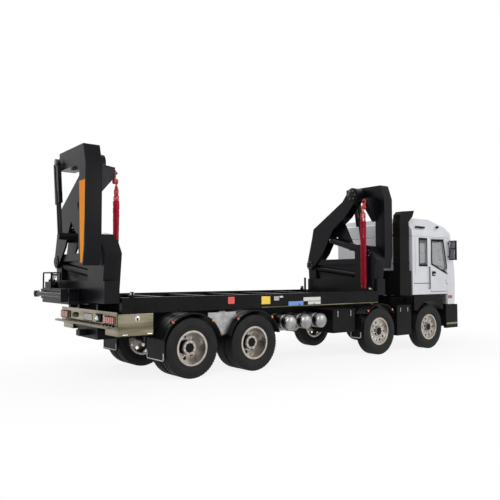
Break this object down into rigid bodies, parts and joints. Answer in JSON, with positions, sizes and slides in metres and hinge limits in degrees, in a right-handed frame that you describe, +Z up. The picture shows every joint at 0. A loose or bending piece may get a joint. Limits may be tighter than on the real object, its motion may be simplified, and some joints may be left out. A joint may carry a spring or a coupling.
{
  "type": "truck-mounted side lifter",
  "caption": "Rigid cab-over truck with a container bed between a front and a rear side-loading crane, with chain slings and stabiliser legs.",
  "frame": {"origin": "ground level under the middle of the overall length and width", "axes": "+X forward, +Y to the left (the lifting side), +Z up"},
  "size_m": [10, 2.9, 3.89],
  "materials": {
    "tyre": "matte rubber",
    "rim": "polished",
    "axle_black": "satin",
    "glass": "tinted",
    "rod_chrome": "polished",
    "sling_red": "woven sleeve",
    "crane_paint": "gloss",
    "cab_paint": "metallic silver",
    "interior": "matte",
    "polished": "mirror polished",
    "engine_iron": "matte",
    "frame_black": "gloss",
    "black_plastic": "satin"
  },
  "bodies": {
    "chassis": {"axles": "axle_black", "bed_frame": "frame_black", "bumper": "black_plastic", "cab_front": "cab_paint", "cab_glass": "glass", "cab_interior": "interior", "cab_roof": "cab_paint", "cab_shell": "cab_paint", "chassis_frame": "frame_black", "crane_front_base": "crane_paint", "crane_rear_base": "crane_paint", "engine": "engine_iron", "intake_stack": "black_plastic", "mirrors": "black_plastic", "mudguards": "black_plastic", "polished_boxes": "polished"},
    "wheel_steer_front_left": {"tyre_steer_front_left": "tyre", "rim_steer_front_left": "rim"},
    "knuckle_steer_front_left": {"knuckle_steer_front_left": "axle_black"},
    "wheel_steer_front_right": {"tyre_steer_front_right": "tyre", "rim_steer_front_right": "rim"},
    "knuckle_steer_front_right": {"knuckle_steer_front_right": "axle_black"},
    "wheel_steer_rear_left": {"tyre_steer_rear_left": "tyre", "rim_steer_rear_left": "rim"},
    "knuckle_steer_rear_left": {"knuckle_steer_rear_left": "axle_black"},
    "wheel_steer_rear_right": {"tyre_steer_rear_right": "tyre", "rim_steer_rear_right": "rim"},
    "knuckle_steer_rear_right": {"knuckle_steer_rear_right": "axle_black"},
    "wheel_drive_front_left": {"tyre_drive_front_left": "tyre", "rim_drive_front_left": "rim"},
    "wheel_drive_front_right": {"tyre_drive_front_right": "tyre", "rim_drive_front_right": "rim"},
    "wheel_drive_rear_left": {"tyre_drive_rear_left": "tyre", "rim_drive_rear_left": "rim"},
    "wheel_drive_rear_right": {"tyre_drive_rear_right": "tyre", "rim_drive_rear_right": "rim"},
    "door_left": {"door_left": "cab_paint", "door_glass_left": "glass"},
    "door_right": {"door_right": "cab_paint", "door_glass_right": "glass"},
    "crane_front_lower_boom": {"crane_front_lower_boom": "crane_paint"},
    "crane_front_upper_boom": {"crane_front_upper_boom": "crane_paint"},
    "crane_front_lift_barrel": {"crane_front_lift_barrel": "crane_paint"},
    "crane_front_lift_rod": {"crane_front_lift_rod": "rod_chrome"},
    "crane_front_fold_barrel": {"crane_front_fold_barrel": "crane_paint"},
    "crane_front_fold_rod": {"crane_front_fold_rod": "rod_chrome"},
    "crane_front_stabiliser_beam": {"crane_front_stabiliser_beam": "crane_paint"},
    "crane_front_stabiliser_leg": {"crane_front_stabiliser_leg": "rod_chrome"},
    "crane_front_shackle": {"crane_front_shackle": "crane_paint"},
    "crane_front_sling": {"crane_front_sling": "sling_red"},
    "crane_rear_lower_boom": {"crane_rear_lower_boom": "crane_paint"},
    "crane_rear_upper_boom": {"crane_rear_upper_boom": "crane_paint"},
    "crane_rear_lift_barrel": {"crane_rear_lift_barrel": "crane_paint"},
    "crane_rear_lift_rod": {"crane_rear_lift_rod": "rod_chrome"},
    "crane_rear_fold_barrel": {"crane_rear_fold_barrel": "crane_paint"},
    "crane_rear_fold_rod": {"crane_rear_fold_rod": "rod_chrome"},
    "crane_rear_stabiliser_beam": {"crane_rear_stabiliser_beam": "crane_paint"},
    "crane_rear_stabiliser_leg": {"crane_rear_stabiliser_leg": "rod_chrome"},
    "crane_rear_shackle": {"crane_rear_shackle": "crane_paint"},
    "crane_rear_sling": {"crane_rear_sling": "sling_red"}
  },
  "joints": [
    {"name": "steer_front_left", "type": "hinge", "parent": "chassis", "child": "knuckle_steer_front_left", "pos_m": [3.85, 0.87, 0.525], "axis": [0, 0, 1], "range_deg": [-30, 30]},
    {"name": "roll_steer_front_left", "type": "hinge", "parent": "knuckle_steer_front_left", "child": "wheel_steer_front_left", "pos_m": [3.85, 1.05, 0.525], "axis": [0, 1, 0], "continuous": true},
    {"name": "steer_front_right", "type": "hinge", "parent": "chassis", "child": "knuckle_steer_front_right", "pos_m": [3.85, -0.87, 0.525], "axis": [0, 0, 1], "range_deg": [-30, 30]},
    {"name": "roll_steer_front_right", "type": "hinge", "parent": "knuckle_steer_front_right", "child": "wheel_steer_front_right", "pos_m": [3.85, -1.05, 0.525], "axis": [0, 1, 0], "continuous": true},
    {"name": "steer_rear_left", "type": "hinge", "parent": "chassis", "child": "knuckle_steer_rear_left", "pos_m": [2, 0.87, 0.525], "axis": [0, 0, 1], "range_deg": [-21, 21]},
    {"name": "roll_steer_rear_left", "type": "hinge", "parent": "knuckle_steer_rear_left", "child": "wheel_steer_rear_left", "pos_m": [2, 1.05, 0.525], "axis": [0, 1, 0], "continuous": true},
    {"name": "steer_rear_right", "type": "hinge", "parent": "chassis", "child": "knuckle_steer_rear_right", "pos_m": [2, -0.87, 0.525], "axis": [0, 0, 1], "range_deg": [-21, 21]},
    {"name": "roll_steer_rear_right", "type": "hinge", "parent": "knuckle_steer_rear_right", "child": "wheel_steer_rear_right", "pos_m": [2, -1.05, 0.525], "axis": [0, 1, 0], "continuous": true},
    {"name": "roll_drive_front_left", "type": "hinge", "parent": "chassis", "child": "wheel_drive_front_left", "pos_m": [-1.61, 0.92, 0.525], "axis": [0, 1, 0], "continuous": true},
    {"name": "roll_drive_front_right", "type": "hinge", "parent": "chassis", "child": "wheel_drive_front_right", "pos_m": [-1.61, -0.92, 0.525], "axis": [0, 1, 0], "continuous": true},
    {"name": "roll_drive_rear_left", "type": "hinge", "parent": "chassis", "child": "wheel_drive_rear_left", "pos_m": [-2.98, 0.92, 0.525], "axis": [0, 1, 0], "continuous": true},
    {"name": "roll_drive_rear_right", "type": "hinge", "parent": "chassis", "child": "wheel_drive_rear_right", "pos_m": [-2.98, -0.92, 0.525], "axis": [0, 1, 0], "continuous": true},
    {"name": "door_left_swing", "type": "hinge", "parent": "chassis", "child": "door_left", "pos_m": [4.573, 1.238, 1.7], "axis": [0, 0, -1], "range_deg": [0, 70]},
    {"name": "door_right_swing", "type": "hinge", "parent": "chassis", "child": "door_right", "pos_m": [4.573, -1.238, 1.7], "axis": [0, 0, 1], "range_deg": [0, 70]},
    {"name": "crane_front_lower_swing", "type": "hinge", "parent": "chassis", "child": "crane_front_lower_boom", "pos_m": [2.1, 1.05, 2.05], "axis": [-1, 0, 0], "range_deg": [0, 80]},
    {"name": "crane_front_upper_swing", "type": "hinge", "parent": "crane_front_lower_boom", "child": "crane_front_upper_boom", "pos_m": [2.25, -0.4, 3.7], "axis": [-1, 0, 0], "range_deg": [0, 100]},
    {"name": "crane_front_lift_pivot", "type": "hinge", "parent": "chassis", "child": "crane_front_lift_barrel", "pos_m": [2.1, -0.88, 2.3], "axis": [-1, 0, 0], "range_deg": [0, 5.63]},
    {"name": "crane_front_lift_slide", "type": "slide", "parent": "crane_front_lift_barrel", "child": "crane_front_lift_rod", "axis": [0, 0.9615, 0.2747], "range_m": [0, 1.1091]},
    {"name": "crane_front_fold_pivot", "type": "hinge", "parent": "crane_front_lower_boom", "child": "crane_front_fold_barrel", "pos_m": [2.6, -0.17, 2.45], "axis": [-1, 0, 0], "range_deg": [-27.28, 0]},
    {"name": "crane_front_fold_slide", "type": "slide", "parent": "crane_front_fold_barrel", "child": "crane_front_fold_rod", "axis": [0, 0.1532, 0.9882], "range_m": [-0.449, 0]},
    {"name": "crane_front_stabiliser_out", "type": "slide", "parent": "chassis", "child": "crane_front_stabiliser_beam", "axis": [0, 1, 0], "range_m": [0, 0.9]},
    {"name": "crane_front_stabiliser_down", "type": "slide", "parent": "crane_front_stabiliser_beam", "child": "crane_front_stabiliser_leg", "axis": [0, 0, -1], "range_m": [0, 0.5]},
    {"name": "crane_front_shackle_swing", "type": "hinge", "parent": "crane_front_upper_boom", "child": "crane_front_shackle", "pos_m": [1.927, -0.81, 3.5], "axis": [-1, 0, 0], "range_deg": [-80, 0]},
    {"name": "crane_front_sling_swing", "type": "hinge", "parent": "crane_front_shackle", "child": "crane_front_sling", "pos_m": [1.888, -0.81, 3.36], "axis": [-1, 0, 0], "range_deg": [-100, 0]},
    {"name": "crane_rear_lower_swing", "type": "hinge", "parent": "chassis", "child": "crane_rear_lower_boom", "pos_m": [-4.46, 1.05, 2.05], "axis": [-1, 0, 0], "range_deg": [0, 80]},
    {"name": "crane_rear_upper_swing", "type": "hinge", "parent": "crane_rear_lower_boom", "child": "crane_rear_upper_boom", "pos_m": [-4.61, -0.4, 3.7], "axis": [-1, 0, 0], "range_deg": [0, 100]},
    {"name": "crane_rear_lift_pivot", "type": "hinge", "parent": "chassis", "child": "crane_rear_lift_barrel", "pos_m": [-4.46, -0.88, 2.3], "axis": [-1, 0, 0], "range_deg": [0, 5.63]},
    {"name": "crane_rear_lift_slide", "type": "slide", "parent": "crane_rear_lift_barrel", "child": "crane_rear_lift_rod", "axis": [0, 0.9615, 0.2747], "range_m": [0, 1.1091]},
    {"name": "crane_rear_fold_pivot", "type": "hinge", "parent": "crane_rear_lower_boom", "child": "crane_rear_fold_barrel", "pos_m": [-4.96, -0.17, 2.45], "axis": [-1, 0, 0], "range_deg": [-27.28, 0]},
    {"name": "crane_rear_fold_slide", "type": "slide", "parent": "crane_rear_fold_barrel", "child": "crane_rear_fold_rod", "axis": [0, 0.1532, 0.9882], "range_m": [-0.449, 0]},
    {"name": "crane_rear_stabiliser_out", "type": "slide", "parent": "chassis", "child": "crane_rear_stabiliser_beam", "axis": [0, 1, 0], "range_m": [0, 0.9]},
    {"name": "crane_rear_stabiliser_down", "type": "hinge", "parent": "crane_rear_stabiliser_beam", "child": "crane_rear_stabiliser_leg", "pos_m": [-4.905, 1.18, 1.455], "axis": [1, 0, 0], "range_deg": [0, 90]},
    {"name": "crane_rear_shackle_swing", "type": "hinge", "parent": "crane_rear_upper_boom", "child": "crane_rear_shackle", "pos_m": [-4.287, -0.81, 3.5], "axis": [-1, 0, 0], "range_deg": [-80, 0]},
    {"name": "crane_rear_sling_swing", "type": "hinge", "parent": "crane_rear_shackle", "child": "crane_rear_sling", "pos_m": [-4.248, -0.81, 3.36], "axis": [-1, 0, 0], "range_deg": [-100, 0]}
  ],
  "couplings": [
    {"joint": "steer_front_right", "follows": "steer_front_left", "ratio": 1},
    {"joint": "steer_rear_left", "follows": "steer_front_left", "ratio": 0.7},
    {"joint": "steer_rear_right", "follows": "steer_front_left", "ratio": 0.7},
    {"joint": "crane_front_lift_pivot", "follows": "crane_front_lower_swing", "ratio": 0.06895},
    {"joint": "crane_front_lift_slide", "follows": "crane_front_lower_swing", "m_per_rad": 0.79076},
    {"joint": "crane_front_fold_pivot", "follows": "crane_front_upper_swing", "ratio": -0.26748},
    {"joint": "crane_front_fold_slide", "follows": "crane_front_upper_swing", "m_per_rad": -0.25437},
    {"joint": "crane_front_shackle_swing", "follows": "crane_front_lower_swing", "ratio": -1},
    {"joint": "crane_front_sling_swing", "follows": "crane_front_upper_swing", "ratio": -1},
    {"joint": "crane_rear_lift_pivot", "follows": "crane_rear_lower_swing", "ratio": 0.06895},
    {"joint": "crane_rear_lift_slide", "follows": "crane_rear_lower_swing", "m_per_rad": 0.79076},
    {"joint": "crane_rear_fold_pivot", "follows": "crane_rear_upper_swing", "ratio": -0.26748},
    {"joint": "crane_rear_fold_slide", "follows": "crane_rear_upper_swing", "m_per_rad": -0.25437},
    {"joint": "crane_rear_shackle_swing", "follows": "crane_rear_lower_swing", "ratio": -1},
    {"joint": "crane_rear_sling_swing", "follows": "crane_rear_upper_swing", "ratio": -1}
  ]
}
